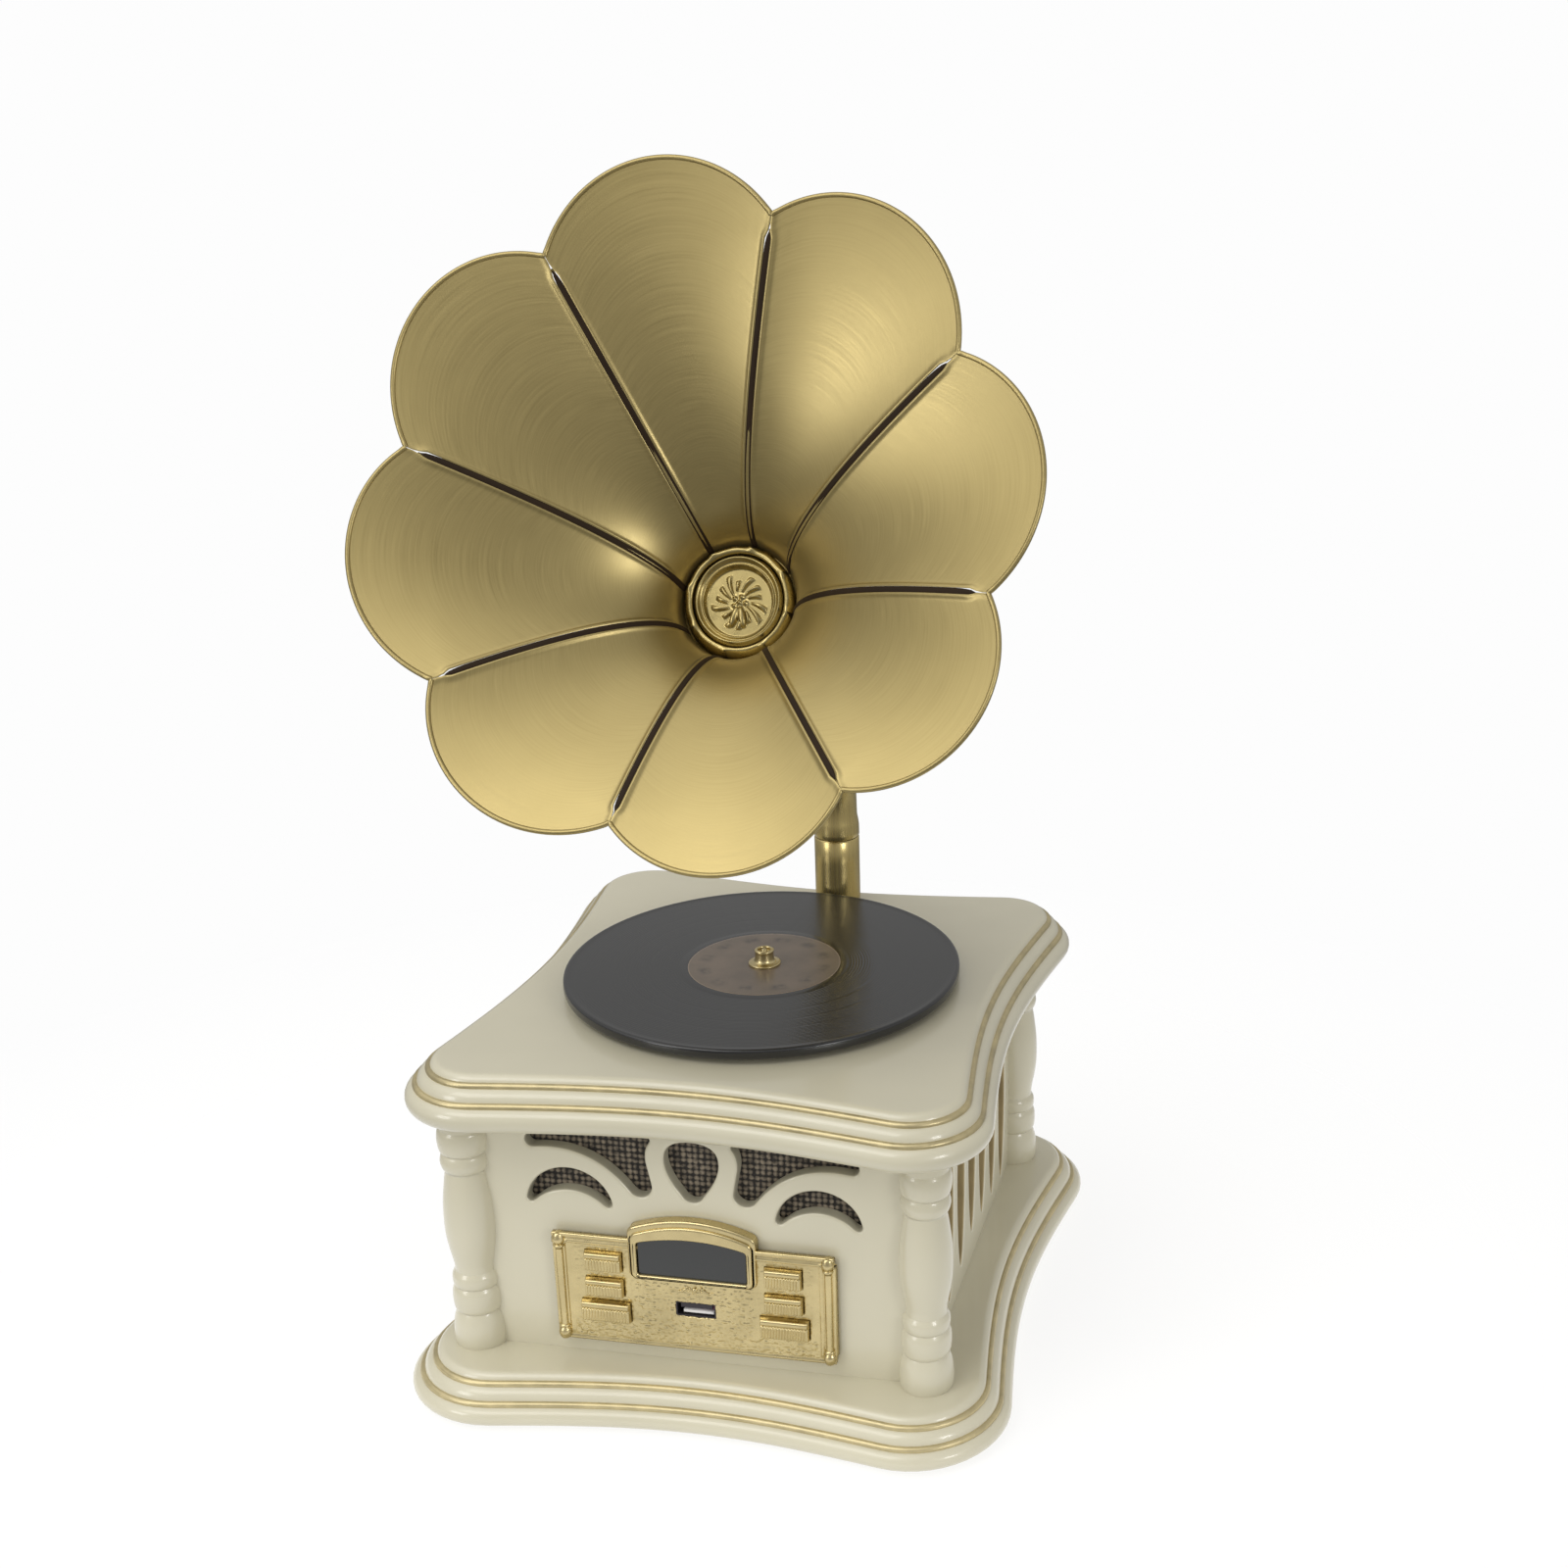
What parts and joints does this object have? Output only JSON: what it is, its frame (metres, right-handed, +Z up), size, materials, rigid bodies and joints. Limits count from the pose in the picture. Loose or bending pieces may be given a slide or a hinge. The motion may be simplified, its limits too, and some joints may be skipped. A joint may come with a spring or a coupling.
{
  "type": "horn loudspeaker",
  "caption": "Tabletop gramophone-style horn loudspeaker: lacquered case with corner columns, turntable on its lid, petal horn on a post, control panel with keys and a USB socket.",
  "frame": {"origin": "on the floor under the middle of the case", "axes": "+Z up, the front with the control panel faces -Y, +X to the right seen from the front"},
  "size_m": [0.2172, 0.2186, 0.4066],
  "materials": {
    "cream_lacquer": "satin cream lacquer on moulded fibreboard",
    "brushed_brass": "brushed and clear-coated",
    "gilt_casting": "gold-plated casting with a hammered ground",
    "black_plastic": "matt",
    "plated_steel": "bright zinc",
    "foot_rubber": "matt",
    "grille_cloth": "coarse open weave",
    "circuit_board": "solder mask",
    "speaker_paper": "pressed paper cone",
    "smoked_pane": "smoked, polished",
    "record_vinyl": "grooved gloss with a paper label",
    "bush_bronze": "sintered bronze"
  },
  "bodies": {
    "case": {"back_panel": "cream_lacquer", "bottom_cover": "black_plastic", "column_back_left": "cream_lacquer", "column_back_right": "cream_lacquer", "column_front_left": "cream_lacquer", "column_front_right": "cream_lacquer", "control_bezel": "gilt_casting", "control_board": "circuit_board", "display_module": "black_plastic", "display_window": "smoked_pane", "foot_back_left": "foot_rubber", "foot_back_right": "foot_rubber", "foot_front_left": "foot_rubber", "foot_front_right": "foot_rubber", "front_cloth": "grille_cloth", "front_panel": "cream_lacquer", "gear_motor": "plated_steel", "left_cloth": "grille_cloth", "left_panel": "cream_lacquer", "lid": "cream_lacquer", "main_board": "circuit_board", "plinth": "cream_lacquer", "post_tube": "brushed_brass", "power_inlet": "black_plastic", "right_cloth": "grille_cloth", "right_panel": "cream_lacquer", "speaker_left_basket": "plated_steel", "speaker_left_cone": "speaker_paper", "speaker_right_basket": "plated_steel", "speaker_right_cone": "speaker_paper", "spindle_bush": "bush_bronze", "usb_socket": "plated_steel"},
    "turntable": {"spindle": "plated_steel", "platter": "black_plastic", "record": "record_vinyl", "spindle_cap": "gilt_casting"},
    "horn": {"elbow": "brushed_brass", "neck": "brushed_brass", "throat_collar": "brushed_brass", "throat_rosette": "gilt_casting", "petal_1": "brushed_brass", "petal_2": "brushed_brass", "petal_3": "brushed_brass", "petal_4": "brushed_brass", "petal_5": "brushed_brass", "petal_6": "brushed_brass", "petal_7": "brushed_brass", "petal_8": "brushed_brass"},
    "key_left_1": {"key_left_1": "gilt_casting"},
    "key_left_2": {"key_left_2": "gilt_casting"},
    "key_left_3": {"key_left_3": "gilt_casting"},
    "key_right_1": {"key_right_1": "gilt_casting"},
    "key_right_2": {"key_right_2": "gilt_casting"},
    "key_right_3": {"key_right_3": "gilt_casting"}
  },
  "joints": [
    {"name": "turntable_spin", "type": "hinge", "parent": "case", "child": "turntable", "pos_m": [0, -0.0018, 0.13], "axis": [0, 0, 1], "continuous": true},
    {"name": "horn_swivel", "type": "hinge", "parent": "case", "child": "horn", "pos_m": [0.005, 0.0785, 0.153], "axis": [0, 0, 1], "continuous": true},
    {"name": "key_left_1_press", "type": "slide", "parent": "case", "child": "key_left_1", "axis": [0, 1, 0], "range_m": [0, 0.001], "stiffness_N_per_m": 400, "springref_m": -0.0005},
    {"name": "key_left_2_press", "type": "slide", "parent": "case", "child": "key_left_2", "axis": [0, 1, 0], "range_m": [0, 0.001], "stiffness_N_per_m": 400, "springref_m": -0.0005},
    {"name": "key_left_3_press", "type": "slide", "parent": "case", "child": "key_left_3", "axis": [0, 1, 0], "range_m": [0, 0.001], "stiffness_N_per_m": 400, "springref_m": -0.0005},
    {"name": "key_right_1_press", "type": "slide", "parent": "case", "child": "key_right_1", "axis": [0, 1, 0], "range_m": [0, 0.001], "stiffness_N_per_m": 400, "springref_m": -0.0005},
    {"name": "key_right_2_press", "type": "slide", "parent": "case", "child": "key_right_2", "axis": [0, 1, 0], "range_m": [0, 0.001], "stiffness_N_per_m": 400, "springref_m": -0.0005},
    {"name": "key_right_3_press", "type": "slide", "parent": "case", "child": "key_right_3", "axis": [0, 1, 0], "range_m": [0, 0.001], "stiffness_N_per_m": 400, "springref_m": -0.0005}
  ]
}
